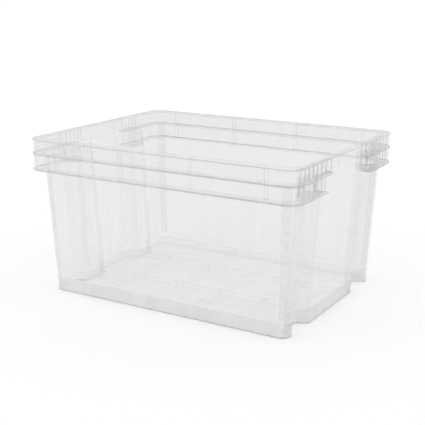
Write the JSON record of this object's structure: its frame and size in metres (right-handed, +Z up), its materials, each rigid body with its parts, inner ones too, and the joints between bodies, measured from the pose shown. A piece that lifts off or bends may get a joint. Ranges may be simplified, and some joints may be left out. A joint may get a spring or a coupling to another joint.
{
  "type": "stackable storage bin",
  "caption": "Open-top stack-and-nest storage bin in clear plastic, with tapered walls, inward columns on both ends, a ribbed floor, a hollow flanged rim and under-rim hand grips",
  "frame": {"origin": "middle of the underside of the base skirt, where the bin stands", "axes": "+X along the long side to the right end, which has the wide middle panel; -Y is the front; +Z up"},
  "size_m": [0.432, 0.33, 0.23],
  "materials": {
    "clear_plastic": "clear colourless moulded plastic, gloss, slightly cloudy at the edges",
    "clear_plastic_base": "clear colourless moulded plastic, satin and a little greyer where floor and skirt are thicker"
  },
  "bodies": {
    "root": {"back_rim_ribs": "clear_plastic", "back_skin": "clear_plastic", "back_wall": "clear_plastic", "corner_skin_back_left": "clear_plastic", "corner_skin_back_right": "clear_plastic", "corner_skin_front_left": "clear_plastic", "corner_skin_front_right": "clear_plastic", "corner_wall_back_left": "clear_plastic", "corner_wall_back_right": "clear_plastic", "corner_wall_front_left": "clear_plastic", "corner_wall_front_right": "clear_plastic", "floor_panel": "clear_plastic_base", "floor_ribs_cross": "clear_plastic_base", "floor_ribs_long": "clear_plastic_base", "front_rim_ribs": "clear_plastic", "front_skin": "clear_plastic", "front_wall": "clear_plastic", "left_column_back": "clear_plastic", "left_column_front": "clear_plastic", "left_column_heads": "clear_plastic", "left_hand_grip": "clear_plastic", "left_ledges": "clear_plastic", "left_panel": "clear_plastic", "left_rim_ribs": "clear_plastic", "low_flange_back": "clear_plastic", "low_flange_back_left": "clear_plastic", "low_flange_back_right": "clear_plastic", "low_flange_front": "clear_plastic", "low_flange_front_left": "clear_plastic", "low_flange_front_right": "clear_plastic", "mid_flange_back": "clear_plastic", "mid_flange_back_left": "clear_plastic", "mid_flange_back_right": "clear_plastic", "mid_flange_front": "clear_plastic", "mid_flange_front_left": "clear_plastic", "mid_flange_front_right": "clear_plastic", "right_column_back": "clear_plastic", "right_column_front": "clear_plastic", "right_column_heads": "clear_plastic", "right_hand_grip": "clear_plastic", "right_ledges": "clear_plastic", "right_panel": "clear_plastic", "right_rim_ribs": "clear_plastic", "skirt_back": "clear_plastic_base", "skirt_corners_left": "clear_plastic_base", "skirt_corners_right": "clear_plastic_base", "skirt_front": "clear_plastic_base", "skirt_left": "clear_plastic_base", "skirt_right": "clear_plastic_base", "top_rim_back": "clear_plastic", "top_rim_corner_back_left": "clear_plastic", "top_rim_corner_back_right": "clear_plastic", "top_rim_corner_front_left": "clear_plastic", "top_rim_corner_front_right": "clear_plastic", "top_rim_front": "clear_plastic", "top_rim_left": "clear_plastic", "top_rim_right": "clear_plastic"}
  },
  "joints": []
}
